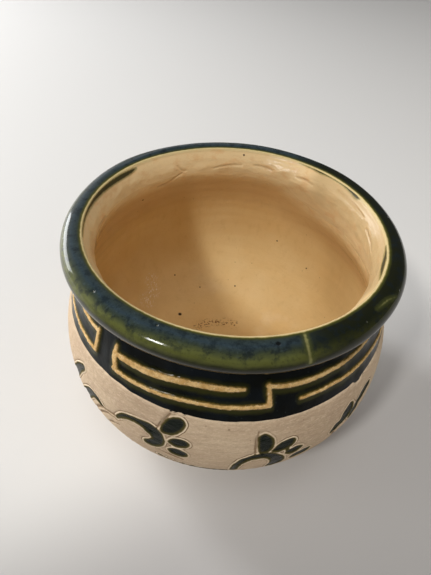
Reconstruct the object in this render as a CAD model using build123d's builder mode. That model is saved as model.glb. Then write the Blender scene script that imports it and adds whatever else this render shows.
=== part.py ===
"""Yarn bowl: a thrown stoneware pot with a rolled rim and a raised fret in a dark glazed band.

The pot is thrown, a coil is luted on for the rim and a ring for the foot, and three glazes are
laid on it. Every piece is a solid of its own and meets its neighbours face to face.
Millimetres, +Z up, origin at the centre of the foot's resting face. Azimuths are in degrees
from +X, and the front of the bowl looks along -Y.
"""
import os
from math import degrees

from build123d import *

# Pot, outside
height = 112.5           # resting face to the crest of the glazed rim
belly_r = 80.2           # widest part of the body
belly_z = 50.0
shoulder_in = 4.0        # how far the body has drawn in at the band's lower edge
neck_in = 14.3           # and at its narrowest, under the rim
band_h = 25.8            # band's lower edge to the rim's seat
# Pot, walls
wall = 5.0
floor_t = 7.0
# Foot ring
foot_h = 5.0
foot_out_r = 43.0
foot_in_r = 36.5
foot_bevel = 1.0
# Rolled rim
rim_in = 5.2             # how far the rim's outside lies inside the belly's
rim_roll_h = 13.0        # height of the roll, glaze included
rim_w = 9.7              # outside of the roll to the sharp inner edge
# Glazes
liner_t = 0.5
rim_glaze_t = 0.6
band_recess = 1.6        # depth of the channel cut for the band
band_glaze_t = 0.9
# Fret: each unit is one line that steps between two rows
fret_units = 3
fret_line_w = 2.4
fret_lower_h = 5.7       # band's lower edge to the middle of the lower row
fret_rows_h = 8.0        # lower row to upper row
fret_stub_h = 1.6        # how far the left post stands above the upper row
fret_start = 235.5       # azimuth of the first unit's left post
fret_gap = 8.5           # degrees from one unit's right post to the next one's left post
fret_riser = 50.0        # degrees from the left post to the middle riser
fret_gap_upper = 7.0     # degrees from the upper row's free end to the riser
fret_gap_lower = 10.0    # degrees from the riser to the lower row's free end

neck_r = belly_r - neck_in
shoulder_r = belly_r - shoulder_in
rim_out_r = belly_r - rim_in
lip_r = rim_out_r - rim_w
rim_mid_r = rim_out_r - rim_roll_h / 2
rim_mid_z = height - rim_roll_h / 2
seat_z = height - rim_roll_h + rim_glaze_t     # where the rim coil sits on the wall
lip_z = height - rim_glaze_t
shoulder_z = seat_z - band_h
floor_z = foot_h + floor_t
reach = belly_r + 15                           # past every surface
inside_wall_r = neck_r - 3                     # inside the band, where the fret cutter begins


def side_line(inset, bottom_z):
    """Wall's curve, moved in by inset, from the axis at bottom_z out to the belly and the neck."""
    widest = (belly_r - inset, belly_z)
    turn_r = belly_r - inset - (belly_z - bottom_z)    # where the flat bottom starts to curve
    Line((0, bottom_z), (turn_r, bottom_z))
    TangentArc(widest, (turn_r, bottom_z), tangent=(0, -1))
    upper = TangentArc(widest, (shoulder_r - inset, shoulder_z), tangent=(0, 1))
    TangentArc(upper @ 1, (neck_r - inset, seat_z), tangent=upper % 1)


def pot_side(inset):
    """Outline of the pot as a solid, moved in by inset."""
    with BuildLine() as line:
        side_line(inset, foot_h + inset)
        Polyline((neck_r - inset, seat_z), (0, seat_z), (0, foot_h + inset))
    return line.line


def cavity_side(inset):
    """Outline of the hollow from its floor to the lip, moved in by inset."""
    throat = (neck_r - wall - inset, seat_z)
    with BuildLine() as line:
        side_line(wall + inset, floor_z + inset)
        TangentArc(throat, (lip_r - inset, lip_z), tangent=(0, 1))
        Polyline((lip_r - inset, lip_z), (0, lip_z), (0, floor_z + inset))
    return line.line


def turned(outline):
    """Solid of revolution about Z from a closed outline in the XZ plane."""
    with BuildPart() as solid:
        with BuildSketch(Plane.XZ):
            add(outline)
            make_face()
        revolve(axis=Axis.Z)
    return solid.part


def angle_for(length, radius):
    """Angle in degrees that a length covers round the pot."""
    return degrees(length / radius)


pot_solid = turned(pot_side(0))
pot_core = turned(pot_side(band_recess))       # what the band's channel leaves
band_core = turned(pot_side(band_recess - band_glaze_t))
cavity_clay = turned(cavity_side(0))
cavity_glazed = turned(cavity_side(liner_t))

# Fret cutter: bars that run round the pot in both rows, and posts between them.
lower_row = shoulder_z + fret_lower_h
upper_row = lower_row + fret_rows_h
middle = (lower_row + upper_row) / 2
post_h = fret_rows_h + fret_line_w
span = 360 / fret_units - fret_gap             # left post to right post
line_angle = angle_for(fret_line_w, shoulder_r)
fret_bars = [  # (from azimuth, to azimuth, middle height, bar height)
    (0, fret_riser - fret_gap_upper, upper_row, fret_line_w),
    (0, fret_riser, lower_row, fret_line_w),
    (fret_riser, span, upper_row, fret_line_w),
    (fret_riser + fret_gap_lower, span, lower_row, fret_line_w),
    (0, line_angle, middle + fret_stub_h / 2, post_h + fret_stub_h),
    (fret_riser - line_angle, fret_riser, middle, post_h),
    (span - line_angle, span, middle, post_h),
]
with BuildPart() as fret_cutter:
    for unit in range(fret_units):
        for start, end, middle_z, tall in fret_bars:
            turn = fret_start + unit * 360 / fret_units + start
            with BuildSketch(Plane.XZ.rotated((0, 0, turn))):
                with Locations(((inside_wall_r + reach) / 2, middle_z)):
                    Rectangle(reach - inside_wall_r, tall)
            revolve(axis=Axis.Z, revolution_arc=end - start)

# Zone of the band: a ring from the shoulder up to the rim's seat
with BuildPart() as band_zone:
    with BuildSketch(Plane.XY.offset(shoulder_z)):
        Circle(reach)
    extrude(amount=seat_z - shoulder_z)
    add(pot_core, mode=Mode.SUBTRACT)

with BuildPart() as thrown_body:
    add(pot_solid)
    add(cavity_clay, mode=Mode.SUBTRACT)
    add(band_zone.part, mode=Mode.SUBTRACT)

with BuildPart() as rim_coil:
    with BuildSketch(Plane.XZ):
        with BuildLine():
            CenterArc((rim_mid_r, rim_mid_z), rim_roll_h / 2 - rim_glaze_t, -90, 180)
            Polyline((rim_mid_r, lip_z), (lip_r - wall, lip_z), (neck_r - 2 * wall, seat_z),
                     (rim_mid_r, seat_z))
        make_face()
    revolve(axis=Axis.Z)
    add(cavity_clay, mode=Mode.SUBTRACT)

with BuildPart() as foot_ring:                 # runs up into the pot, which is then cut away
    with BuildSketch(Plane.XZ):
        with BuildLine():
            Polyline((foot_in_r, 0), (foot_out_r - foot_bevel, 0), (foot_out_r, foot_bevel),
                     (foot_out_r, floor_z), (foot_in_r, floor_z), close=True)
        make_face()
    revolve(axis=Axis.Z)
    add(pot_solid, mode=Mode.SUBTRACT)

with BuildPart() as liner_glaze:
    add(cavity_clay)
    add(cavity_glazed, mode=Mode.SUBTRACT)

with BuildPart() as rim_glaze:
    with BuildSketch(Plane.XZ):
        with BuildLine():
            CenterArc((rim_mid_r, rim_mid_z), rim_roll_h / 2, -90, 180)
            Polyline((rim_mid_r, height), (lip_r, lip_z), (rim_mid_r, lip_z),
                     (rim_mid_r, seat_z), (neck_r - rim_glaze_t, seat_z),
                     (neck_r - rim_glaze_t, seat_z - rim_glaze_t),
                     (rim_mid_r, seat_z - rim_glaze_t))
        make_face()
    revolve(axis=Axis.Z)
    add(rim_coil.part, mode=Mode.SUBTRACT)
    add(pot_solid, mode=Mode.SUBTRACT)

with BuildPart() as band_glaze:
    add(band_zone.part)
    add(band_core, mode=Mode.INTERSECT)
    add(fret_cutter.part, mode=Mode.SUBTRACT)

with BuildPart() as fret_ridges:
    add(fret_cutter.part)
    add(pot_core, mode=Mode.SUBTRACT)
    add(pot_solid, mode=Mode.INTERSECT)

pieces = {
    "thrown_body": thrown_body,
    "rim_coil": rim_coil,
    "foot_ring": foot_ring,
    "liner_glaze": liner_glaze,
    "rim_glaze": rim_glaze,
    "band_glaze": band_glaze,
    "fret_ridges": fret_ridges,
}
os.makedirs("parts", exist_ok=True)
for label, piece in pieces.items():
    piece.part.label = label
    export_step(piece.part, f"parts/{label}.step")
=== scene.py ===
"""Looks of the thrown yarn bowl: glazed rim, fret band, bare clay belly with palmettes, honey lining.

Every visible surface is a dense turned mesh that follows the CAD profile and carries the potter's
marks as real relief. Distances to the drawn lines are kept on the vertices, in millimetres, and
the procedural clay and glazes read them. Azimuths are in degrees from +X, and the front is 270.
"""

from math import cos, radians, sin

import bpy
import numpy as np
from mathutils import Euler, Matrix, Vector


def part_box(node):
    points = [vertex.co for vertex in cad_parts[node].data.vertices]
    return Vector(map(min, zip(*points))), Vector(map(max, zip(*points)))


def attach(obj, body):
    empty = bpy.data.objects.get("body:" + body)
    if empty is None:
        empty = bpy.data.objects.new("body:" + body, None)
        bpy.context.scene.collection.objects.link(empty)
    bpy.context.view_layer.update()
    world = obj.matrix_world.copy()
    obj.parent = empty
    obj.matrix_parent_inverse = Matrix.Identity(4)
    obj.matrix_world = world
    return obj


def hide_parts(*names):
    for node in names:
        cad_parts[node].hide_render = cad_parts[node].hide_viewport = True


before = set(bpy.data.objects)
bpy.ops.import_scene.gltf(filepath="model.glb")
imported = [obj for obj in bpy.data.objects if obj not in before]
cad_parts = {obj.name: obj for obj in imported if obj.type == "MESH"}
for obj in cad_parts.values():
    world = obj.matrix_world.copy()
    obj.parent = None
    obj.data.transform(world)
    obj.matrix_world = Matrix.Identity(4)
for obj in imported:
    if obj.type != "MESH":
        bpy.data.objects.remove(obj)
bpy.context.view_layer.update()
MM = 0.001


# ---------------------------------------------------------------- sizes, in mm
def corners(node):
    """Lower and upper corner of a CAD node's box."""
    return [np.array(corner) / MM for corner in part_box(node)]


rim_lo, rim_hi = corners("rim_glaze")
band_lo, band_hi = corners("band_glaze")
body_lo, body_hi = corners("thrown_body")
liner_lo, liner_hi = corners("liner_glaze")
foot_hi = corners("foot_ring")[1]
height = rim_hi[2]
rim_out_r = rim_hi[0]
roll_r = (rim_hi[2] - rim_lo[2]) / 2
rim_mid_r = rim_out_r - roll_r
rim_mid_z = height - roll_r
belly_r = body_hi[0]
wall = belly_r - liner_hi[0]
shoulder_z, seat_z = band_lo[2], band_hi[2]      # band's lower edge and the rim's seat
base_z, floor_z = body_lo[2], liner_lo[2]        # underside and the floor inside
foot_out_r, foot_top = foot_hi[0], foot_hi[2]
# the CAD's sizes that no box shows
belly_z = 50.0           # widest part
shoulder_r = 76.2        # at the band's lower edge
neck_r = 65.9            # under the rim
lip_r = 65.3
foot_in_r = 36.5
liner_t = 0.5
band_step = 0.7          # glazed band lies this far inside the clay below it
# arc of the wall from the belly up to the shoulder
drop, rise = belly_r - shoulder_r, shoulder_z - belly_z
upper_arc_r = (drop**2 + rise**2) / (2 * drop)
slope_at_shoulder = rise / np.sqrt(upper_arc_r**2 - rise**2)

count_r = 75.0           # radius at which waves round the pot are counted
far = 20.0               # distance kept where no drawn line is near, and on hidden faces
pole_r = 0.02            # first ring of a floor, so small that it closes the middle


# ---------------------------------------------------------------- profiles
def side_radius(z, inset=0.0):
    """Radius of the pot's outside at height z, moved in by inset."""
    low_r = belly_z - (base_z + inset)
    low = belly_r - inset - low_r + np.sqrt(np.clip(low_r**2 - (belly_z - z) ** 2, 0, None))
    high = belly_r - inset - upper_arc_r + np.sqrt(upper_arc_r**2 - (z - belly_z) ** 2)
    up = z - shoulder_z
    band_h = seat_z - shoulder_z
    bend = (shoulder_r - neck_r - slope_at_shoulder * band_h) / band_h**2
    top = shoulder_r - inset - slope_at_shoulder * up - bend * up**2
    return np.where(z < belly_z, low, np.where(z < shoulder_z, high, top))


def smoothstep(x, start, end):
    """0 before start, 1 past end and smooth between them."""
    t = np.clip((x - start) / (end - start), 0, 1)
    return t * t * (3 - 2 * t)


def spline(points, count):
    """Smooth curve through points (Catmull-Rom), sampled evenly per span."""
    p = np.array(points, float)
    p = np.vstack([2 * p[0] - p[1], p, 2 * p[-1] - p[-2]])
    spans = len(p) - 3
    t = np.linspace(0, spans - 1e-9, count)
    k = t.astype(int)
    f = (t - k)[:, None]
    a, b, c, d = p[k], p[k + 1], p[k + 2], p[k + 3]
    return 0.5 * (2 * b + (c - a) * f + (2 * a - 5 * b + 4 * c - d) * f**2
                  + (3 * b - a - 3 * c + d) * f**3)


def waves(seed, azimuth, across, longest, shortest, count=14):
    """Smooth random field, periodic round the pot. Wavelengths in mm, value about -1 to 1."""
    rng = np.random.default_rng(seed)
    out = np.zeros(np.broadcast(azimuth, across).shape)
    for _ in range(count):
        length = np.exp(rng.uniform(np.log(shortest), np.log(longest)))
        tilt = rng.uniform(0, 2 * np.pi)
        laps = np.round(2 * np.pi * count_r / length * np.cos(tilt))
        out += np.sin(np.radians(azimuth) * laps + across * 2 * np.pi / length * np.sin(tilt)
                      + rng.uniform(0, 2 * np.pi))
    return out / np.sqrt(count)


def stroke_distance(u, v, points, count=26):
    """Distance in mm to a stroke given as (along, up, half width), negative inside it."""
    curve = spline(points, count)
    best = np.full(u.shape, np.inf)
    for (ax, ay, ar), (bx, by, br) in zip(curve[:-1], curve[1:]):
        dx, dy = bx - ax, by - ay
        t = np.clip(((u - ax) * dx + (v - ay) * dy) / (dx * dx + dy * dy + 1e-9), 0, 1)
        gap = np.hypot(u - ax - t * dx, v - ay - t * dy) - (ar + t * (br - ar))
        best = np.minimum(best, gap)
    return best


def to_side(azimuth, centre):
    """Signed angle from a centre azimuth, -180 to 180."""
    return (azimuth - centre + 180) % 360 - 180


# ---------------------------------------------------------------- turned meshes
def columns_azimuth(columns):
    """Azimuths of a ring's vertices, as a row."""
    return (np.arange(columns) * 360 / columns)[None]


def turned(name, radius, z, lift, slot, **fields):
    """Piece made of rings round Z, the last joined to the first.

    radius, z and lift are (rings, columns) in mm. lift moves a vertex out along the normal.
    The other fields are kept on the vertices for the materials.
    """
    rings, columns = radius.shape
    dr = np.roll(radius, -1, 0) - np.roll(radius, 1, 0)
    dz = np.roll(z, -1, 0) - np.roll(z, 1, 0)
    length = np.hypot(dr, dz) + 1e-9
    radius = radius + lift * dz / length
    z = z - lift * dr / length
    angle = np.radians(columns_azimuth(columns))
    points = np.stack([radius * np.cos(angle), radius * np.sin(angle), z], -1).reshape(-1, 3)
    ring = np.arange(rings)[:, None]
    column = np.arange(columns)[None]
    next_ring = (ring + 1) % rings
    next_column = (column + 1) % columns
    quads = np.stack([ring * columns + column, ring * columns + next_column,
                      next_ring * columns + next_column, next_ring * columns + column], -1)
    mesh = bpy.data.meshes.new(name)
    mesh.from_pydata((points * MM).tolist(), [], quads.reshape(-1, 4).tolist())
    mesh.polygons.foreach_set("use_smooth", np.ones(len(mesh.polygons), bool))
    for field, values in fields.items():
        attribute = mesh.attributes.new(field, "FLOAT", "POINT")
        attribute.data.foreach_set("value", values.astype(np.float32).ravel())
    mesh.update()
    piece = bpy.data.objects.new(name, mesh)
    bpy.context.collection.objects.link(piece)
    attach(piece, "root")
    return piece


# ---------------------------------------------------------------- band with its fret
fret_units = 3
fret_start = 235.4       # azimuth of the first unit's left post
fret_middle = 55         # degrees from the left post to the middle of the unit
fret_lines = [  # one unit, as strokes of (degrees from its left post, height, half width in mm)
    [(42.8, 88.4, 0.75), (38, 88.3, 1.15), (25, 88.0, 1.25), (14, 87.1, 1.45), (5, 86.5, 1.3),
     (0, 86.4, 1.15)],
    [(0.2, 89.8, 0.8), (0.2, 87.8, 1.2), (0.4, 84.0, 1.35), (1.4, 80.8, 1.2)],
    [(0.9, 80.0, 1.1), (5, 79.5, 0.95), (15, 79.9, 0.9), (33, 80.7, 0.9), (50, 80.6, 1.05)],
    [(50.5, 80.7, 1.15), (50.4, 84.5, 1.0), (50.0, 89.3, 1.0)],
    [(49.8, 89.0, 0.95), (54, 88.2, 1.05), (60, 87.9, 1.05), (80, 88.3, 0.9), (95, 88.4, 0.9),
     (110.6, 88.5, 0.95)],
    [(110.9, 88.9, 1.1), (111.2, 84.5, 1.15), (111.4, 80.1, 1.15)],
    [(60.4, 81.3, 0.75), (70, 81.5, 0.85), (85, 81.2, 0.8), (100, 80.4, 0.85), (111.4, 79.9, 0.95)],
]
fret_scale = radians(1) * (shoulder_r - 2)       # mm per degree at the band


def fret_distance(azimuth, z):
    """Distance in mm from the fret's edge, negative on the ridge."""
    best = np.full(z.shape, far)
    for unit in range(fret_units):
        centre = fret_start + unit * 360 / fret_units + fret_middle
        u = to_side(azimuth, centre) * fret_scale * np.ones_like(z)
        sway = 0.25 * waves(40 + unit, azimuth, 0 * z, 60, 18)
        for line in fret_lines:
            points = [((along - fret_middle) * fret_scale, up, half) for along, up, half in line]
            best = np.minimum(best, stroke_distance(u, z + sway, points, 18))
    return best


def band_edge(azimuth):
    """Height of the band's lower edge: the knife wandered, slipped up once, and one drip ran down."""
    slip = np.exp(-(to_side(azimuth, 260) / 5) ** 2)
    drip = np.exp(-(to_side(azimuth, 319.5) / 1.9) ** 4)
    return shoulder_z + 0.25 * waves(7, azimuth, 0 * azimuth, 160, 40) + 0.5 * slip - 1.8 * drip


def make_band():
    columns = 1040
    azimuth = columns_azimuth(columns)
    band_h = seat_z - shoulder_z
    tucked = 1.6                                           # how far it goes down behind the clay
    rows = np.concatenate([[-tucked, -0.9], np.linspace(-0.4, band_h - 6.5, 48),
                           np.linspace(band_h - 5.7, band_h, 6)])[:, None]
    edge = band_edge(azimuth)
    z = shoulder_z + rows + (edge - shoulder_z) * smoothstep(-rows, -8, 0)
    ridge = fret_distance(azimuth, z)
    skirt = fret_distance(azimuth, z + 1.7)                # the same lines, 1.7 mm lower
    rough = waves(11, azimuth, z, 4, 1.3, 40)
    scratch = waves(12, azimuth, z * 0.4, 9, 1.8, 30)
    ragged = 0.08 * waves(14, azimuth, z, 4, 1.4, 30)
    on_ridge = smoothstep(-ridge + ragged, -0.35, 0.55)
    ripple = 0.10 * waves(13, azimuth, z, 30, 7)
    climb = 0.18 * smoothstep(-ridge, -2.2, -0.2)          # glaze climbs the ridge's foot
    glaze_lift = -band_step + (ripple + climb) * (1 - on_ridge)
    lift = glaze_lift + on_ridge * (band_step + 0.02 + 0.08 * rough + 0.06 * scratch)
    radius = side_radius(z)
    radius[0] -= band_step + 0.6
    lift[0] = 0
    # hidden back of the band, inside the clay
    back_z = np.linspace(seat_z, shoulder_z - tucked, 8)[:, None] * np.ones_like(azimuth)
    back_r = side_radius(back_z) - 3.0
    hidden = np.full(back_r.shape, far)
    return turned(
        "band_and_fret", np.vstack([radius, back_r]), np.vstack([z, back_z]),
        np.vstack([lift, 0 * back_r]), slot="band_glaze",
        ridge=np.vstack([ridge - ragged, hidden]), skirt=np.vstack([skirt, hidden]),
    )


# ---------------------------------------------------------------- belly with its palmettes
palmette_z = belly_z     # height of a palmette's middle
palmette_reach = 44      # no stroke goes further sideways
round_strokes = [  # (along, up, half width) in mm from the palmette's middle
    [(-10.2, 4.9, 0.5), (-7.9, 7.9, 1.0), (-4.9, 10.2, 1.2), (-0.7, 11.3, 1.4), (3.5, 11.4, 2.0),
     (6.6, 10.6, 3.0), (9.2, 8.8, 3.0), (10.5, 5.8, 2.6), (9.8, 3.0, 2.5), (7.8, 1.0, 2.3),
     (5.6, 0.0, 1.6)],
    [(13.4, 13.6, 1.9), (15.2, 15.4, 3.2), (17.0, 18.0, 3.5), (18.6, 19.6, 2.7)],
    [(16.4, 7.2, 1.2), (18.4, 7.6, 2.5), (20.6, 8.1, 2.5), (22.3, 8.4, 1.3)],
    [(16.2, 0.6, 1.2), (18.0, 0.5, 2.5), (20.2, 0.2, 2.5), (21.9, -0.1, 1.2)],
    [(10.0, -9.5, 0.4), (16.0, -12.5, 0.8), (24.0, -14.2, 1.0), (32.0, -14.9, 1.0),
     (40.0, -14.6, 0.8)],
]
round_cuts = [
    [(10.8, -3.2, 0.2), (16.0, -4.4, 0.5), (21.4, -6.0, 0.2)],
    [(15.1, 24.0, 0.15), (12.4, 18.4, 0.3), (9.5, 12.5, 0.1)],
    [(7.0, 9.4, 0.3), (7.2, 9.2, 0.3)],
]
tall_strokes = [
    [(-8.7, -13.0, 1.2), (-8.2, -6.5, 1.3), (-6.7, -2.1, 1.4), (-3.9, 1.0, 1.5), (0.4, 2.4, 1.8),
     (4.9, 2.0, 2.0), (8.0, -0.9, 2.3), (9.5, -4.0, 2.9), (9.8, -7.7, 3.1), (8.4, -11.6, 2.4)],
    [(2.5, 6.4, 1.8), (2.9, 9.0, 2.9), (2.6, 12.4, 3.0), (1.5, 15.2, 2.1)],
    [(7.4, 5.6, 1.3), (9.4, 6.4, 2.5), (11.8, 8.0, 3.0), (13.4, 9.3, 2.1)],
    [(12.6, 4.8, 0.6), (12.9, 3.2, 0.35), (13.6, 1.6, 0.6)],
    [(13.6, 0.9, 1.0), (15.5, 1.1, 2.2), (17.4, 1.7, 2.1), (19.1, 2.2, 0.8)],
    [(17.4, -6.3, 1.6), (19.6, -5.3, 2.5), (22.0, -4.5, 2.5), (23.8, -3.4, 1.3)],
]
tall_cuts = [
    [(-1.1, 4.6, 0.15), (-1.4, 11.0, 0.3), (-0.9, 19.0, 0.1)],
    [(2.0, 5.0, 0.3), (2.1, 3.6, 0.3)],
]
leaf_strokes = [
    [(4.4, 14.2, 1.4), (0.4, 10.0, 2.2), (-4.6, 2.4, 2.7), (-9.8, -5.0, 2.8), (-16.0, -11.0, 1.8)],
    [(19.8, 3.4, 0.7), (15.4, 5.0, 1.5), (11.2, 4.0, 2.2), (7.7, 0.0, 2.7), (4.2, -5.0, 2.8),
     (0.0, -11.0, 2.4), (-3.5, -15.0, 1.4)],
]
leaf_cuts = [
    [(30.5, 4.6, 0.2), (25.2, 4.2, 0.5), (18.2, 1.0, 0.5), (12.8, -6.0, 0.5), (8.6, -13.0, 0.2)],
    [(29.4, 2.2, 0.1), (23.0, 1.2, 0.4), (17.5, -4.0, 0.5), (14.0, -11.0, 0.1)],
    [(29.8, -0.6, 0.1), (25.8, -3.0, 0.5), (22.4, -7.0, 0.4), (19.8, -12.0, 0.1)],
]
fan_strokes = [
    [(-11.8, 0.6, 1.6), (-10.2, 3.0, 2.6)],
    [(-6.6, 3.0, 1.8), (-5.4, 6.4, 3.3), (-4.4, 9.6, 3.2), (-3.8, 12.0, 1.8)],
    [(-0.2, 1.6, 1.8), (1.2, 5.0, 2.6), (1.8, 7.8, 1.4)],
    [(2.2, 8.6, 1.6), (5.6, 11.0, 2.6), (9.0, 12.8, 2.4), (11.4, 13.3, 1.0)],
    [(6.0, -10.0, 1.2), (12.0, -9.6, 2.0), (18.0, -7.0, 2.1), (22.0, -3.6, 1.2)],
]
fan_cuts = [
    [(-11.4, -1.0, 0.2), (-8.4, -7.0, 0.5), (-4.0, -13.0, 0.2)],
    [(-2.0, -2.0, 0.2), (3.0, -4.6, 0.5), (9.0, -4.0, 0.2)],
]
palmettes = [  # (azimuth of the middle, glazed strokes, knife lines)
    (219, leaf_strokes, leaf_cuts), (247, round_strokes, round_cuts),
    (284, tall_strokes, tall_cuts), (319, fan_strokes, fan_cuts),
    (354, leaf_strokes, leaf_cuts), (27, round_strokes, round_cuts),
    (66, tall_strokes, tall_cuts), (103, fan_strokes, fan_cuts),
    (140, round_strokes, round_cuts), (179, tall_strokes, tall_cuts),
]


def palmette_distance(azimuth, z):
    """Distances in mm to the edge of the nearest glaze pool and knife line, negative inside."""
    pool = np.full(z.shape, far)
    cut = np.full(z.shape, far)
    scale = radians(1) * belly_r
    for centre, strokes, cuts in palmettes:
        u = to_side(azimuth, centre) * scale * np.ones_like(z)
        near = np.abs(u) < palmette_reach
        for best, lines in ((pool, strokes), (cut, cuts)):
            for line in lines:
                gap = stroke_distance(u[near], z[near] - palmette_z, line)
                best[near] = np.minimum(best[near], gap)
    return pool, cut


def make_belly():
    columns = 960
    azimuth = columns_azimuth(columns)
    ones = np.ones_like(azimuth)
    edge = band_edge(azimuth)
    # outside, from the middle of the underside to just below the band's edge
    bowl_r = belly_z - base_z                              # radius of the lower wall's arc
    flat_r = belly_r - bowl_r                              # where the flat underside ends
    under_r = np.append(pole_r, np.linspace(4.0, flat_r, 6))[:, None]
    low_angle = np.radians(np.linspace(-88, -21.5, 14))[:, None]
    low_z = belly_z + bowl_r * np.sin(low_angle)
    drawn = np.linspace(34, shoulder_z - 1.2, 64)[:, None]
    drawn_z = drawn + (edge - shoulder_z) * smoothstep(drawn, shoulder_z - 10, shoulder_z - 1)
    z = np.vstack([base_z + 0 * under_r * ones, low_z * ones, drawn_z])
    radius = np.vstack([under_r * ones, side_radius(low_z) * ones, side_radius(drawn_z)])
    pool, cut = palmette_distance(azimuth, z)
    plain_rows = len(under_r) + len(low_z)
    pool[:plain_rows] = far
    cut[:plain_rows] = far
    pit = smoothstep(-pool, -0.1, 0.9)
    groove = np.exp(-((pool - 1.5) / 0.3) ** 2)
    burr = np.exp(-((pool - 0.95) / 0.35) ** 2)
    knife = smoothstep(-cut, -0.7, 0.1)
    turns = z * 2 * np.pi / 4.6 + np.radians(azimuth)
    throwing = 0.06 * np.sin(turns + waves(21, azimuth, z, 200, 50))
    grain = 0.035 * waves(22, azimuth, z, 4, 1.6, 30)
    lift = -0.15 + throwing + grain - 0.34 * pit - 0.2 * groove - 0.3 * knife + 0.08 * burr
    lift[:len(under_r)] = 0
    # clay rounded over into the band's channel, in line with the leaning wall
    turn = np.linspace(0, np.pi / 2, 5)[1:, None]
    lean = np.arctan(slope_at_shoulder)
    up, inward = 1.5 * np.sin(turn), 0.9 * (1 - np.cos(turn))
    over_z = z[-1:] + up * np.cos(lean) - inward * np.sin(lean)
    over_r = radius[-1:] - up * np.sin(lean) - inward * np.cos(lean)
    # hidden back of the wall, between the outside and the lining
    back = 3.0
    back_angle = np.radians(np.linspace(0, -88, 9))[:, None]
    back_z = np.vstack([[[shoulder_z - 1.5]], belly_z + (bowl_r - back) * np.sin(back_angle),
                        [[base_z + back]]]) * ones
    back_r = np.vstack([side_radius(back_z[:1, :1]) - back,
                        flat_r + (bowl_r - back) * np.cos(back_angle), [[pole_r]]]) * ones
    plain = np.full((len(over_z) + len(back_z), columns), far)
    return turned(
        "clay_belly", np.vstack([radius, over_r, back_r]), np.vstack([z, over_z, back_z]),
        np.vstack([lift, np.repeat(lift[-1:], len(over_z), 0), 0 * back_z]), slot="body_clay",
        pool=np.vstack([pool, plain]), cut=np.vstack([cut, plain]),
        below=np.vstack([edge - z, edge - over_z, far + 0 * back_z]),
    )


# ---------------------------------------------------------------- rim, lining and foot
rim_scars = [  # (azimuth, mm outwards from the lip, half width in mm)
    [(294.2, 0.0, 0.5), (293.8, 2.2, 0.2), (293.4, 5.0, 0.3), (293.2, 8.0, 0.15), (293.7, 13.0, 0.3)],
    [(320.2, 5.4, -0.4), (324.2, 5.8, -0.05), (327.0, 6.5, -0.1), (330.4, 8.5, -0.4)],
]


def drawn_distance(lines, scale, azimuth, height_on, count):
    """Distance in mm to lines given as (azimuth, height, half width).

    scale is mm per degree, and count is how many points a line is sampled at.
    """
    best = np.full(height_on.shape, far)
    for line in lines:
        middle = line[len(line) // 2][0]
        u = to_side(azimuth, middle) * scale + 0 * height_on
        points = [(to_side(at, middle) * scale, up, half) for at, up, half in line]
        best = np.minimum(best, stroke_distance(u, height_on, points, count))
    return best


def facing(azimuth, centre, start, end):
    """1 on the side that faces a centre azimuth and 0 away from it, by the cosine between them."""
    return smoothstep(np.cos(np.radians(azimuth - centre)), start, end)


def make_rim():
    columns = 900
    azimuth = columns_azimuth(columns)
    ones = np.ones_like(azimuth)
    top_w = rim_mid_r - lip_r
    # from the neck, round the outside of the roll and over the crest
    around = np.radians(np.linspace(-128, 90, 70))[:, None]
    flat = np.linspace(0, 1, 8)[1:, None]
    edge_rows = [  # (radius, z, mm outwards from the lip, lift): down the lip's edge, then hidden
        (lip_r - 0.05, height - 0.45, -0.4, -0.1),
        (lip_r - 0.25, height - 0.8, -0.9, -0.05),
        (lip_r - 0.1, height - 1.4, -1.5, 0),
        (lip_r + 1.0, height - 5.0, -6, 0),
        (neck_r - 2.5, seat_z + 3.0, -9, 0),
        (neck_r - 2.5, seat_z - 0.5, -9, 0),
    ]
    edge_r, edge_z, edge_across, edge_lift = (np.array(row)[:, None] for row in zip(*edge_rows))
    radius = np.vstack([rim_mid_r + roll_r * np.cos(around), rim_mid_r + (0.35 - top_w) * flat,
                        edge_r]) * ones
    z = np.vstack([rim_mid_z + roll_r * np.sin(around), height - 0.25 * flat**2, edge_z]) * ones
    across = np.vstack([top_w + roll_r * (np.pi / 2 - around), top_w * (1 - flat) + 0.1,
                        edge_across]) * ones
    scar = drawn_distance(rim_scars, radians(1) * rim_mid_r, azimuth, across, 14)
    dents = 0.12 * waves(31, azimuth, across, 110, 40) * smoothstep(across, -3, 2)
    back = facing(azimuth, 95, 0.1, 0.9) + 0 * z
    swell = 1.2 * back * smoothstep(across, 1, 8)
    lift = -0.25 + dents + swell - 0.12 * smoothstep(-scar, -0.9, 0.1)
    lift = np.minimum(lift, height - z)                    # never above the crest
    lift[-len(edge_rows):] = edge_lift
    lift[0] = 0
    # the right-hand side, away from the lights, is marked for the rim's painted shade
    return turned("glazed_rim", radius, z, lift, slot="rim_glaze", across=across, scar=scar,
                  back=back, olive_side=facing(azimuth, -1, 0.15, 0.85) + 0 * z)


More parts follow.
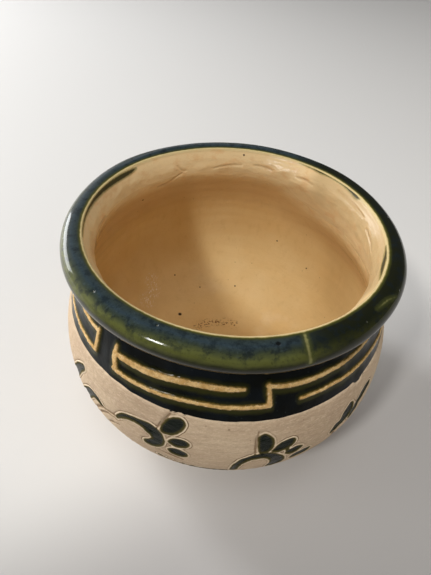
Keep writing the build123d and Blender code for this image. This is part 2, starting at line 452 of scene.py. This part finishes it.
lining_runs = [  # dark rim glaze that ran over the lip: (azimuth, height, half width in mm)
    [(200, 111.4, 0.2), (186, 111.2, 0.5), (176, 111.0, 0.7), (165, 110.7, 0.95), (155, 110.3, 1.05),
     (149, 110.2, 0.8), (145, 110.5, 0.2)],
    [(354, 111.3, 0.2), (348, 110.8, 0.8), (343, 110.2, 0.85), (339, 110.4, 0.5), (334, 111.0, 0.1)],
    [(62, 112.1, 0.2), (55, 112.0, 0.6), (51, 111.7, 0.7), (45, 111.9, 0.4), (38, 111.8, 0.4),
     (32, 111.5, 0.7), (28, 111.1, 0.7), (26, 111.4, 0.1)],
]
lining_creases = [  # where the fingers closed the coil's seam
    [(104, 102.2, 0.1), (97, 104.0, 0.3), (90, 104.7, 0.1)],
    [(84, 105.2, 0.1), (79, 105.5, 0.3), (74, 104.6, 0.15)],
    [(61, 104.9, 0.1), (56, 105.2, 0.3), (52, 104.4, 0.1)],
    [(134, 95.6, 0.1), (129, 96.6, 0.25), (124, 99.6, 0.2), (121, 101.2, 0.1)],
    [(123, 105.6, 0.1), (121, 103.0, 0.2), (119, 102.0, 0.1)],
    [(38, 108.4, 0.1), (28, 108.0, 0.2), (18, 107.4, 0.1)],
    [(12, 105.4, 0.1), (5, 104.4, 0.25), (358, 103.0, 0.1)],
    [(215, 105.2, 0.1), (228, 106.0, 0.3), (240, 105.6, 0.1)],
    [(280, 106.3, 0.1), (292, 105.4, 0.3), (304, 105.8, 0.1)],
]


def throat_radius(z):
    """Inside radius from the belly up to the lip, with the corner at the throat smoothed over."""
    throat_r = side_radius(np.array([seat_z]), wall)[0]
    lip_z = height - 0.7
    total = 0.0
    steps = np.linspace(-9, 9, 19)
    weights = np.exp(-(steps / 5.5) ** 2)
    for step, weight in zip(steps, weights / weights.sum()):
        at = z + step
        share = np.clip((at - seat_z) / (lip_z - seat_z), 0, 2)
        flare = throat_r + (lip_r - throat_r) * share**1.7
        below = side_radius(np.clip(at, belly_z, seat_z), wall)
        total = total + weight * np.where(at < seat_z, below, flare)
    keep = smoothstep(z, height - 3, lip_z)
    return total * (1 - keep) + lip_r * keep


def make_lining():
    columns = 760
    azimuth = columns_azimuth(columns)
    ones = np.ones_like(azimuth)
    sunk = 0.3                                             # keeps the ripples inside the CAD glaze
    low_r = belly_z - floor_z                              # radius of the lower wall's arc
    flat_r = belly_r - wall - low_r                        # where the flat floor ends
    floor_r = np.append(pole_r, np.linspace(2.0, flat_r, 13))[:, None]
    bend = np.radians(np.linspace(-88, 0, 28))[:, None]
    wall_z = np.concatenate([np.linspace(belly_z + 1.5, seat_z - 5, 28),
                             np.linspace(seat_z - 4.5, height - 1.3, 38)])[:, None]
    # top edge, rolled outwards under the rim's
    rolled_r = np.array([[lip_r - 0.36], [lip_r + 0.05], [lip_r + 0.6]])
    rolled_z = np.array([[height - 0.85], [height - 0.75], [height - 1.3]])
    radius = np.vstack([floor_r, flat_r + (low_r - liner_t) * np.cos(bend),
                        throat_radius(wall_z) - liner_t, rolled_r])
    z = np.vstack([floor_z + liner_t + 0 * floor_r, belly_z + (low_r - liner_t) * np.sin(bend),
                   wall_z, rolled_z])
    # the surface that shows runs from the lip down to the floor's centre
    radius, z = radius[::-1] * ones, z[::-1] * ones
    depth = height - z
    scale = radians(1) * lip_r
    run = drawn_distance(lining_runs, scale, azimuth, z, 20)
    crease = drawn_distance(lining_creases, scale, azimuth, z, 20)
    turns = z * 2 * np.pi / 7.5 + 2 * np.radians(azimuth)
    throwing = 0.08 * np.sin(turns + 1.5 * waves(51, azimuth, z, 220, 60))
    in_neck = np.exp(-((depth - 9) / 6.5) ** 2)
    fingers = 0.22 * waves(52, azimuth, 3.2 * z, 70, 12, 20) * in_neck
    broad = 0.3 * waves(54, azimuth, z, 120, 40) * smoothstep(depth, 8, 30)
    # the neck's ledge was smoothed further down at the back right
    smoothed = facing(azimuth, 28, 0.65, 1.0)
    bulge = 2.2 * smoothed * np.exp(-((z - 82) / 9.5) ** 2)
    fingers *= 1 - 0.7 * smoothed
    lift = (throwing * smoothstep(depth, 14, 26) + broad + fingers + bulge
            - 0.42 * smoothstep(-crease, -0.8, 0.1) + 0.2 * smoothstep(-run, -0.8, 0.3))
    lift = (lift * smoothstep(radius, 1, 10) - sunk) * smoothstep(depth, 1.3, 4)
    z[-1] -= sunk
    lift[-1] = 0
    # hidden side, inside the clay
    back_bend = bend[::4]
    back_top = np.linspace(belly_z + 4, seat_z, 6)[:, None]
    back_r = np.vstack([[[pole_r]], [[flat_r]], flat_r + (low_r + 1) * np.cos(back_bend),
                        side_radius(back_top, wall) + 1.3]) * ones
    back_z = np.vstack([[[floor_z - 1.0]], [[floor_z - 1.0]],
                        belly_z + (low_r + 1) * np.sin(back_bend), back_top]) * ones
    hidden = np.full(back_r.shape, far)
    # depth for the colours: the neck's tone and the painted shade under its ledge sit lower on the
    # smoothed back right
    shade_depth = depth - 12 * smoothed * smoothstep(depth, 8, 20)
    return turned(
        "honey_lining", np.vstack([radius, back_r]), np.vstack([z, back_z]),
        np.vstack([lift, 0 * back_r]), slot="liner", depth=np.vstack([shade_depth, 2 * hidden]),
        run=np.vstack([run, hidden]), crease=np.vstack([crease, hidden]),
    )


def make_foot():
    columns = 360
    outline = spline([(foot_in_r + 0.4, foot_top - 0.4), (foot_in_r + 0.1, 2.5),
                      (foot_in_r + 0.7, 0.35), (foot_in_r + 1.5, 0.0), (foot_out_r - 1.4, 0.0),
                      (foot_out_r - 0.5, 0.3), (foot_out_r - 0.1, 1.2),
                      (foot_out_r - 0.2, foot_top - 1.2), (foot_out_r - 0.4, foot_top + 0.2)], 60)
    azimuth = columns_azimuth(columns)
    ones = np.ones_like(azimuth)
    radius, z = outline[:, :1] * ones, np.clip(outline[:, 1:], 0, None) * ones
    lines = 0.05 * np.sin(z * 2 * np.pi / 1.3 + np.radians(azimuth)) * smoothstep(z, 0.4, 1.5)
    return turned("foot_ring_turned", radius, z, lines - 0.05 * smoothstep(z, 0.1, 0.6),
                  slot="foot_clay")


band = make_band()
belly = make_belly()
rim = make_rim()
lining = make_lining()
foot = make_foot()
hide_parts("thrown_body")
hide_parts("band_glaze", "fret_ridges")
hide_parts("rim_coil", "rim_glaze")
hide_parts("liner_glaze")
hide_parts("foot_ring")


# ---------------------------------------------------------------- materials
def linear(r, g, b):
    """Colour as seen, 0 to 255, as a linear RGBA value."""
    c = np.array([r, g, b]) / 255
    c = np.where(c <= 0.04045, c / 12.92, ((c + 0.055) / 1.055) ** 2.4)
    return (*map(float, c), 1.0)


class Nodes:
    """Short way to write a node tree."""

    def __init__(self, tree):
        self.tree = tree

    def put(self, socket, value):
        if isinstance(value, bpy.types.NodeSocket):
            self.tree.links.new(value, socket)
        else:
            socket.default_value = value

    def vector(self, operation, a, b=None, scale=None):
        node = self.tree.nodes.new("ShaderNodeVectorMath")
        node.operation = operation
        self.put(node.inputs[0], a)
        if b is not None:
            self.put(node.inputs[1], b)
        if scale is not None:
            node.inputs["Scale"].default_value = scale
        return node.outputs["Value" if operation in ("DOT_PRODUCT", "DISTANCE") else "Vector"]

    def field(self, name):
        """Value kept on the vertices."""
        node = self.tree.nodes.new("ShaderNodeAttribute")
        node.attribute_name = name
        return node.outputs["Fac"]

    def math(self, operation, a, b=0.0, c=0.0):
        node = self.tree.nodes.new("ShaderNodeMath")
        node.operation = operation
        for socket, value in zip(node.inputs, (a, b, c)):
            self.put(socket, value)
        return node.outputs[0]

    def step(self, value, start, end, low=0.0, high=1.0, smooth=True):
        """low at start, high at end."""
        node = self.tree.nodes.new("ShaderNodeMapRange")
        node.interpolation_type = "SMOOTHSTEP" if smooth else "LINEAR"
        for socket, v in zip(node.inputs, (value, start, end, low, high)):
            self.put(socket, v)
        return node.outputs[0]

    def mix(self, factor, a, b):
        """Colour a at factor 0 and b at 1."""
        node = self.tree.nodes.new("ShaderNodeMix")
        node.data_type = "RGBA"
        # the sockets before these are for numbers and vectors
        first_colour, mixed_colour = 6, 2
        self.put(node.inputs[0], factor)
        self.put(node.inputs[first_colour], a)
        self.put(node.inputs[first_colour + 1], b)
        return node.outputs[mixed_colour]

    def ramp(self, value, *stops):
        """Colour from (place, colour) stops, with place 0 to 1."""
        node = self.tree.nodes.new("ShaderNodeValToRGB")
        self.put(node.inputs[0], value)
        ramp = node.color_ramp
        while len(ramp.elements) < len(stops):
            ramp.elements.new(0.5)
        for element, (place, colour) in zip(ramp.elements, stops):
            element.position = place
            element.color = colour
        return node.outputs[0]


class Shader(Nodes):
    """Material with one shader. Places and sizes in it are in millimetres."""

    def __init__(self, name, **constants):
        self.material = bpy.data.materials.new(name)
        self.material.use_nodes = True
        super().__init__(self.material.node_tree)
        self.surface = self.tree.nodes["Principled BSDF"]
        coords = self.tree.nodes.new("ShaderNodeTexCoord").outputs["Object"]
        self.place = self.vector("SCALE", coords, scale=1 / MM)
        for socket, value in constants.items():
            self.surface.inputs[socket.replace("_", " ")].default_value = value

    def noise(self, size, detail=3.0, roughness=0.55, stretch=(1, 1, 1), shift=0.0):
        """Noise whose features are about size mm across, value 0 to 1."""
        node = self.tree.nodes.new("ShaderNodeTexNoise")
        place = self.vector("MULTIPLY", self.place, stretch)
        if shift:
            place = self.vector("ADD", place, (shift, 2 * shift, 3 * shift))
        self.put(node.inputs["Vector"], place)
        node.inputs["Scale"].default_value = 1 / size
        node.inputs["Detail"].default_value = detail
        node.inputs["Roughness"].default_value = roughness
        return node.outputs[0]

    def around_zero(self, amount, *noise, **more):
        """Noise of the given kind, value -amount / 2 to amount / 2."""
        return self.math("MULTIPLY_ADD", self.noise(*noise, **more), amount, -amount / 2)

    def cells(self, size, shift=0.0):
        """Distance to scattered points about size mm apart, as a share of size."""
        node = self.tree.nodes.new("ShaderNodeTexVoronoi")
        self.put(node.inputs["Vector"], self.vector("ADD", self.place, (shift, shift, shift)))
        node.inputs["Scale"].default_value = 1 / size
        return node.outputs["Distance"]

    def near(self, points):
        """Distance in mm to the nearest of a few points."""
        gaps = [self.vector("DISTANCE", self.place, point) for point in points]
        best = gaps[0]
        for gap in gaps[1:]:
            best = self.math("MINIMUM", best, gap)
        return best

    def bump(self, height, distance, strength=1.0, normal=None):
        """Bump where a height of 1 stands distance mm up."""
        node = self.tree.nodes.new("ShaderNodeBump")
        node.inputs["Distance"].default_value = distance * MM
        node.inputs["Strength"].default_value = strength
        self.put(node.inputs["Height"], height)
        if normal is not None:
            self.put(node.inputs["Normal"], normal)
        return node.outputs[0]

    def finish(self, colour, roughness, normal=None):
        self.put(self.surface.inputs["Base Color"], colour)
        self.put(self.surface.inputs["Roughness"], roughness)
        if normal is not None:
            self.put(self.surface.inputs["Normal"], normal)
        return self.material


def on_wall(azimuth, radius, z):
    """Point at an azimuth, radius and height, in mm."""
    turn = radians(azimuth)
    return (radius * cos(turn), radius * sin(turn), z)


def clay_colour(s):
    """Bare fired clay: pinkish beige with soft cloudy stains, fine sand and a few iron specks."""
    cloud = s.noise(38, 3)
    tone = s.ramp(cloud, (0.3, linear(184, 160, 134)), (0.52, linear(202, 178, 150)),
                  (0.72, linear(214, 192, 163)))
    tone = s.mix(s.step(s.noise(13, 3, 0.6, shift=2), 0.5, 0.7, 0, 0.3), tone,
                 linear(182, 153, 134))
    drag = s.noise(5, 4, 0.65, (1, 1, 4), 3)
    tone = s.mix(s.step(drag, 0.48, 0.7, 0, 0.4), tone, linear(174, 147, 122))
    pale = s.step(s.noise(2.2, 4, 0.7, (1, 1, 3), 1), 0.48, 0.66, 0, 0.45)
    tone = s.mix(pale, tone, linear(234, 214, 186))
    sand = s.noise(0.7, 2, 0.7)
    tone = s.mix(s.step(sand, 0.35, 0.7, 0, 0.2), tone, linear(150, 124, 100))
    specks = s.cells(6.5)
    speck = s.math("MULTIPLY", s.step(specks, 0.05, 0.028, 0, 1), 0.6)
    return s.mix(speck, tone, linear(92, 62, 40))


def clay_material():
    """Bare clay, with dark glaze pooled in the palmettes and an outline cut round each pool."""
    s = Shader("fired_clay", Specular_IOR_Level=0.14)
    pool = s.field("pool")
    tone = clay_colour(s)
    wander = s.around_zero(0.7, 1.6, 2)
    edge = s.math("ADD", s.math("ADD", pool, wander), -0.2)
    # line cut round each pool, with a pale burr between it and the pool's stained edge; the cut is
    # darkened as painted shade and the burr lightened as a painted highlight
    cut_line = s.math("ADD", pool, s.math("MULTIPLY", wander, 0.5))
    cut_at = s.math("ABSOLUTE", s.math("SUBTRACT", cut_line, 1.4))
    broken = s.step(s.noise(10, 2, 0.5, shift=5), 0.42, 0.58, 0.3, 1.0)
    cut = s.math("MULTIPLY", s.step(cut_at, 0.34, 0.08), broken)
    knife = s.step(s.math("ADD", s.field("cut"), s.math("MULTIPLY", wander, 0.6)), 0.45, 0.05)
    cut = s.math("MAXIMUM", cut, s.math("MULTIPLY", knife, 0.9))
    burr_at = s.math("ABSOLUTE", s.math("SUBTRACT", pool, 0.9))
    stain = s.step(edge, 1.0, 0.2, 0.0, 0.45)
    tone = s.mix(stain, tone, linear(160, 138, 98))
    # painted highlight along the burr's crest
    burr = s.math("MULTIPLY", s.step(burr_at, 0.42, 0.1, 0, 0.9), s.math("MAXIMUM", broken, 0.55))
    tone = s.mix(burr, tone, linear(238, 220, 192))
    # painted shade in the cut lines and the knife lines
    tone = s.mix(s.math("MULTIPLY", cut, 0.75), tone, linear(116, 88, 56))
    olive = s.step(edge, 0.42, 0.0)
    tone = s.mix(olive, tone, linear(80, 73, 36))
    dark = s.mix(s.noise(7, 3), linear(10, 16, 12), linear(22, 30, 21))
    glazed = s.step(edge, 0.05, -1.3)
    tone = s.mix(glazed, tone, dark)
    # two iron spots
    spot = s.near([on_wall(274.7, 77.6, 70.8), on_wall(152.0, 78.0, 66.0)])
    tone = s.mix(s.step(spot, 0.8, 0.3, 0, 0.7), tone, linear(96, 68, 40))
    # painted highlight: pale strip on the clay's rounded edge next to the band
    painted_edge_highlight = s.step(s.math("ADD", s.field("below"), wander), 1.0, 0.1)
    tone = s.mix(s.math("MULTIPLY", painted_edge_highlight, 0.5), tone, linear(226, 206, 178))
    rough = s.step(glazed, 0, 1, 0.75, 0.34, False)
    grit = s.bump(s.noise(0.5, 3, 0.7), 0.07, 0.6)
    drag = s.bump(s.noise(2.4, 4, 0.65, (1, 1, 4)), 0.4, 0.8, grit)
    carved = s.bump(s.math("MULTIPLY", cut, -1.0), 0.3, 0.8, drag)
    return s.finish(tone, rough, carved)


def foot_material():
    """The body's clay, smoothed and darkened by the trimming tool."""
    s = Shader("trimmed_foot_clay", Specular_IOR_Level=0.3)
    tone = s.mix(0.35, clay_colour(s), linear(170, 138, 104))
    return s.finish(tone, 0.75, s.bump(s.noise(0.6, 3, 0.7), 0.08, 0.7))


def band_material():
    """Blue-black glaze, olive under each ridge where it ran thin, over rough tan ridges."""
    s = Shader("dark_band_glaze", Specular_IOR_Level=0.16)
    ridge = s.field("ridge")
    edge = s.math("ADD", ridge, s.around_zero(0.8, 1.0, 3, 0.7))
    blue = s.step(s.noise(20, 3, 0.6, shift=15), 0.42, 0.62)
    deep = s.mix(blue, linear(6, 8, 6), linear(12, 18, 22))
    deep = s.mix(s.step(s.noise(1.3, 3, 0.7), 0.6, 0.78, 0, 0.3), deep, linear(42, 50, 54))
    # pale specks: painted glints on the dark glaze
    specks = s.cells(2.6, 3)
    deep = s.mix(s.step(specks, 0.08, 0.04, 0, 0.5), deep, linear(70, 80, 84))
    runny = s.around_zero(2.4, 6, 3, 0.6, shift=7)
    skirt = s.math("ADD", s.field("skirt"), runny)
    olive = s.mix(s.step(skirt, 1.6, -0.6, 0, 0.9), deep, linear(46, 46, 12))
    thin = s.step(s.math("ADD", ridge, runny), 2.2, 0.2, 0, 0.55)
    olive = s.mix(thin, olive, linear(48, 48, 16))
    halo = s.mix(s.step(edge, 0.6, -0.1), olive, linear(104, 86, 40))
    tan = s.mix(s.step(s.noise(3.2, 3, 0.6), 0.35, 0.65), linear(206, 164, 100),
                linear(236, 200, 140))
    # darker flecks: painted shade in small pits on the ridges
    tan = s.mix(s.step(s.noise(0.9, 3, 0.75), 0.52, 0.68, 0, 0.45), tan, linear(138, 102, 56))
    # pale flecks: painted glints on the ridges
    tan = s.mix(s.step(s.noise(0.8, 3, 0.75, shift=4), 0.58, 0.72, 0, 0.8), tan,
                linear(250, 232, 202))
    bare = s.step(edge, 0.1, -0.4)
    tone = s.mix(bare, halo, tan)
    rough = s.step(bare, 0, 1, 0.1, 0.38, False)
    wavy = s.bump(s.noise(5, 2), 0.22, 0.6)
    grain = s.bump(s.math("MULTIPLY", s.noise(0.7, 3, 0.75), bare), 0.45, 1.0, wavy)
    return s.finish(tone, rough, grain)


rim_zone = 24.0          # mm outwards from the lip over which the rim's colours change


def rim_material():
    """Slate glaze on the crest, olive where it thins over the lip and the outer shoulder, and darker
    towards the underside and on the right, partly as painted shade.
    """
    s = Shader("rim_glaze_blue_green", Specular_IOR_Level=0.34)
    across = s.field("across")
    wander = s.around_zero(5.0, 18, 3, 0.55)
    fine = s.around_zero(1.0, 3.5, 3, 0.7, shift=6)
    place = s.math("DIVIDE", s.math("ADD", s.math("ADD", across, wander), fine), rim_zone)
    # colours across the roll from the lip; the darkening towards the underside is partly painted shade
    slate = s.ramp(place, (0.02, linear(46, 54, 46)), (0.18, linear(46, 59, 66)),
                   (0.27, linear(50, 58, 46)), (0.38, linear(90, 94, 50)),
                   (0.45, linear(84, 87, 42)), (0.52, linear(44, 46, 20)),
                   (0.6, linear(24, 26, 13)), (1.0, linear(14, 15, 9)))
    # darker copy of these colours for the right-hand side: painted shade over the olive glaze
    dark = s.ramp(place, (0.02, linear(27, 28, 15)), (0.25, linear(25, 29, 17)),
                  (0.38, linear(46, 48, 20)), (0.5, linear(28, 30, 14)), (1.0, linear(18, 19, 11)))
    stray = s.around_zero(0.7, 26, 2, 0.5, shift=9)
    olive_side = s.math("ADD", s.field("olive_side"), stray)
    tone = s.mix(s.step(olive_side, 0.15, 0.7), slate, dark)
    mottles = s.math("MULTIPLY", s.step(s.noise(4.2, 4, 0.7, shift=2), 0.46, 0.64, 0, 0.7),
                     s.step(place, 0.5, 0.3, 0.2, 1.0))
    tone = s.mix(mottles, tone, linear(22, 30, 34))
    flecks = s.math("MULTIPLY", s.step(s.noise(2.2, 4, 0.7, shift=4), 0.54, 0.7, 0, 0.2),
                    s.math("MULTIPLY", s.step(place, 0.38, 0.28), s.step(olive_side, 0.5, 0.0)))
    tone = s.mix(flecks, tone, linear(74, 90, 100))
    tone = s.mix(s.step(s.noise(1.1, 3, 0.7), 0.56, 0.7, 0, 0.4), tone, linear(20, 25, 16))
    scar = s.math("ADD", s.field("scar"), s.around_zero(0.8, 1.2, 2))
    tone = s.mix(s.step(scar, 2.2, 0.2, 0, 0.6), tone, linear(74, 78, 38))
    tone = s.mix(s.step(scar, 0.6, -0.2, 0, 0.7), tone, linear(142, 138, 88))
    lip = s.math("ADD", across, s.around_zero(0.7, 2.5, 3))
    lip = s.math("MULTIPLY_ADD", s.field("back"), -0.5, lip)
    tone = s.mix(s.step(lip, 2.0, 0.7, 0, 0.85), tone, linear(62, 64, 26))
    tone = s.mix(s.step(lip, 0.8, 0.35), tone, linear(112, 104, 54))
    tone = s.mix(s.step(lip, 0.35, -0.1), tone, linear(204, 184, 134))
    pit = s.near([on_wall(285.5, 69.0, 112.4), on_wall(41, 69.5, 112.3)])
    tone = s.mix(s.step(pit, 1.1, 0.5, 0, 0.9), tone, linear(14, 16, 16))
    hole = s.near([on_wall(333.8, 73.3, 110.3), on_wall(314.0, 71.9, 111.5),
                   on_wall(251.2, 68.3, 112.4), on_wall(228.0, 70.5, 112.1),
                   on_wall(12.0, 71.0, 111.8), on_wall(110.0, 70.2, 112.2)])
    tone = s.mix(s.step(hole, 0.42, 0.15), tone, linear(84, 88, 70))
    wavy = s.bump(s.noise(14, 1), 0.3, 0.4)
    pitted = s.bump(s.math("MINIMUM", s.step(pit, 0.4, 1.2), s.step(hole, 0.2, 0.7)), 0.4, 0.8, wavy)
    return s.finish(tone, 0.1, pitted)


lining_pits = [           # pinholes, the first one larger
    on_wall(134.6, 41.5, 12.9), on_wall(85.3, 56.1, 17.5), on_wall(48.8, 73.6, 40.6),
    on_wall(110.1, 55.1, 17.0), on_wall(124.3, 64.5, 24.1), on_wall(67.7, 74.7, 49.5),
    on_wall(142.1, 64.8, 90.0), on_wall(124.0, 61.1, 103.4), on_wall(89.4, 63.9, 109.7),
    on_wall(250.0, 72.0, 38.0), on_wall(300.0, 60.0, 20.0), on_wall(205.0, 68.0, 29.0),
]
# scratches on the lower wall at the back left, which get painted glints
lining_glint_spots = [on_wall(147.7, 59.5, 19.8), on_wall(141.0, 62.0, 21.5), on_wall(139.0, 66.0, 26.0)]
lining_ash = [on_wall(at, 27.0, floor_z) for at in (126, 114, 102, 90, 78)]


def lining_material():
    """Honey glaze: pale and worn in the neck, with painted shade under its ledge, on the right of the
    neck and in the creases, painted glints on a few scratches, and pits and ash.
    """
    s = Shader("honey_lining_glaze", IOR=1.5)
    depth = s.field("depth")
    tone = s.ramp(s.noise(46, 3), (0.3, linear(214, 181, 125)), (0.5, linear(224, 192, 136)),
                  (0.72, linear(230, 202, 149)))
    streak = s.step(s.noise(3.5, 4, 0.7, (1, 1, 0.35)), 0.5, 0.75, 0, 0.18)
    tone = s.mix(streak, tone, linear(188, 150, 98))
    neck = s.step(s.math("ADD", depth, s.around_zero(8.0, 12, 3)), 22, 10)
    tone = s.mix(s.math("MULTIPLY", neck, 0.75), tone, linear(224, 197, 152))
    # painted shade on the right of the neck
    painted_neck_shade = s.step(s.near([on_wall(at, 64, 107) for at in range(-25, 46, 7)]), 14, 4)
    tone = s.mix(s.math("MULTIPLY", painted_neck_shade, 0.72), tone, linear(172, 146, 104))
    tone = s.mix(s.step(depth, 2.2, 0.8, 0, 0.8), tone, linear(206, 186, 138))
    in_neck = s.step(depth, 26, 9)
    # painted shade: brown band on the wall under the neck's ledge
    painted_ledge_shade = s.math("MULTIPLY", s.step(depth, 13, 21), s.step(depth, 46, 26))
    tone = s.mix(s.math("MULTIPLY", painted_ledge_shade, 0.4), tone, linear(176, 124, 70))
    worn = s.step(s.noise(8, 4, 0.65, (1, 1, 1.8), 12), 0.48, 0.66, 0, 0.4)
    worn = s.math("MULTIPLY", worn, s.math("MULTIPLY_ADD", painted_neck_shade, -0.7, 1.0))
    tone = s.mix(s.math("MULTIPLY", worn, in_neck), tone, linear(208, 158, 104))
    tone = s.mix(s.step(s.noise(0.9, 3, 0.7, shift=8), 0.6, 0.75, 0, 0.25), tone,
                 linear(170, 126, 74))
    crease = s.field("crease")
    # painted shade in the finger creases
    tone = s.mix(s.step(crease, 0.5, -0.1, 0, 0.3), tone, linear(160, 124, 82))
    run = s.math("ADD", s.field("run"), s.around_zero(0.6, 1.5, 2))
    tone = s.mix(s.step(run, 0.8, 0.1, 0, 0.7), tone, linear(122, 112, 56))
    tone = s.mix(s.step(run, 0.1, -0.4, 0, 0.92), tone, linear(42, 40, 14))
    specks = s.cells(9.0)
    tone = s.mix(s.math("MULTIPLY", s.step(specks, 0.04, 0.02), 0.7), tone, linear(96, 62, 34))
    tone = s.mix(s.step(s.near(lining_pits), 0.75, 0.35), tone, linear(60, 34, 18))
    tone = s.mix(s.step(s.near(lining_pits[:1]), 1.7, 0.9), tone, linear(48, 22, 12))
    ash = s.step(s.near(lining_ash), 5.0, 1.0)
    crumbs = s.step(s.noise(1.5, 3, 0.6), 0.53, 0.6)
    tone = s.mix(s.math("MULTIPLY", ash, crumbs), tone, linear(108, 60, 34))
    # painted glints on the scratches
    painted_glints = s.math("MULTIPLY", s.step(s.near(lining_glint_spots), 7.0, 2.0),
                     s.step(s.noise(1.5, 3, 0.7, (2.5, 1, 1), 6), 0.56, 0.62, 0, 0.8))
    tone = s.mix(painted_glints, tone, linear(255, 250, 236))
    thrown = s.bump(s.noise(7, 3, 0.6, (0.5, 0.5, 1.6), 13), 0.45, 0.7)
    wrinkle = s.noise(11, 4, 0.55, (1, 1, 1.7), 11)
    rough_neck = s.math("MULTIPLY", in_neck, s.step(depth, 1.5, 5))
    wrinkled = s.bump(s.math("MULTIPLY", wrinkle, rough_neck), 1.2, 0.8, thrown)
    rough = s.math("MULTIPLY_ADD", in_neck, 0.16, 0.13)
    return s.finish(tone, rough, s.bump(s.noise(1.2, 3), 0.05, 0.5, wrinkled))


belly.data.materials.append(clay_material())
band.data.materials.append(band_material())
rim.data.materials.append(rim_material())
lining.data.materials.append(lining_material())
foot.data.materials.append(foot_material())


# ---------------------------------------------------------------- stage, lights and camera
def table_material():
    """White table with painted shadow on it: a little darker away from the window, and darker still
    well in front of the bowl.
    """
    s = Shader("white_table", Specular_IOR_Level=0.2)
    away = s.vector("DOT_PRODUCT", s.place, (0.62, -0.78, 0.0))
    # painted shade, darker away from the window where the bowl's shadow falls
    tone = s.mix(s.step(away, 10, 82), linear(222, 221, 219), linear(186, 184, 183))
    # painted shadow across the table well in front of the bowl
    painted_front_shadow = s.step(s.vector("DOT_PRODUCT", s.place, (0.0, -1.0, 0.0)), 66, 215)
    return s.finish(s.mix(painted_front_shadow, tone, linear(128, 127, 126)), 0.5)


bpy.ops.mesh.primitive_plane_add(size=4, location=(0, 0, 0))
table = bpy.context.object
table.name = "table"
table.data.materials.append(table_material())


def area_light(name, azimuth, elevation, distance, size, power, colour, mirrored):
    """Rectangular light aimed at the bowl, in metres and watts. It only lights, or is only mirrored."""
    aim = Vector((0, 0, height * MM * 0.7))
    turn = Euler((0, -radians(elevation), radians(azimuth))).to_matrix()
    direction = turn @ Vector((1, 0, 0))
    lamp = bpy.data.lights.new(name, "AREA")
    lamp.shape = "RECTANGLE"
    lamp.size, lamp.size_y = size
    lamp.energy = power
    lamp.color = colour
    light = bpy.data.objects.new(name, lamp)
    light.location = aim + direction * distance
    light.rotation_euler = (-direction).to_track_quat("-Z", "Y").to_euler()
    light.visible_glossy = mirrored
    light.visible_diffuse = not mirrored
    bpy.context.collection.objects.link(light)


area_light("lamp", 231.5, 45, 1.6, (0.16, 0.16), 11.0, (1.0, 0.97, 0.92), False)
area_light("ceiling", 261, 80, 1.5, (0.6, 0.6), 4.0, (1.0, 0.98, 0.95), False)
area_light("window", 150, 24, 1.6, (0.35, 0.9), 17.5, (0.97, 0.98, 1.0), False)
area_light("left_wall", 172, 6, 1.6, (0.9, 0.5), 11, (1.0, 0.99, 0.98), False)
area_light("right_wall", 338, 8, 1.6, (0.9, 0.5), 5, (1.0, 0.96, 0.88), False)
area_light("pane", 234, 25, 1.5, (0.2, 0.22), 6, (1.0, 0.99, 0.97), True)
area_light("doorway", 152, 10, 1.6, (0.9, 0.5), 10, (0.96, 0.98, 1.0), True)


def make_room():
    """World: even light on surfaces, a pale wall at the back left in the glazes, white behind all."""
    light_given, seen_by_camera = 0.29, 0.92
    wall_azimuth = radians(145)
    world = bpy.data.worlds.new("room")
    bpy.context.scene.world = world
    world.use_nodes = True
    room = Nodes(world.node_tree)
    background = room.tree.nodes["Background"]
    heading = room.tree.nodes.new("ShaderNodeTexCoord").outputs["Generated"]
    to_wall = room.vector("DOT_PRODUCT", heading, (cos(wall_azimuth), sin(wall_azimuth), 0.0))
    upward = room.vector("DOT_PRODUCT", heading, (0.0, 0.0, 1.0))
    glow = room.math("MULTIPLY", room.step(to_wall, 0.4, 0.75), room.step(upward, 0.8, 0.3))
    mirrored = room.math("MULTIPLY_ADD", glow, 0.75, 0.08)
    path = room.tree.nodes.new("ShaderNodeLightPath").outputs
    strength = room.step(path["Is Glossy Ray"], 0.0, 1.0, light_given, mirrored, False)
    strength = room.step(path["Is Camera Ray"], 0.0, 1.0, strength, seen_by_camera, False)
    room.put(background.inputs["Color"], linear(240, 238, 236))
    room.put(background.inputs["Strength"], strength)


def place_camera():
    """Camera in front of the bowl, looking down into it."""
    before_axis, above_crest = 0.15601, 0.11022
    view = bpy.data.cameras.new("camera")
    view.sensor_width = 36
    view.lens = 26.985
    camera = bpy.data.objects.new("camera", view)
    camera.location = (0.0, -before_axis, height * MM + above_crest)
    camera.rotation_euler = [radians(angle) for angle in (45.368, -3.361, 5.632)]
    bpy.context.collection.objects.link(camera)
    bpy.context.scene.camera = camera


make_room()
place_camera()
bpy.context.scene.view_settings.view_transform = "Standard"
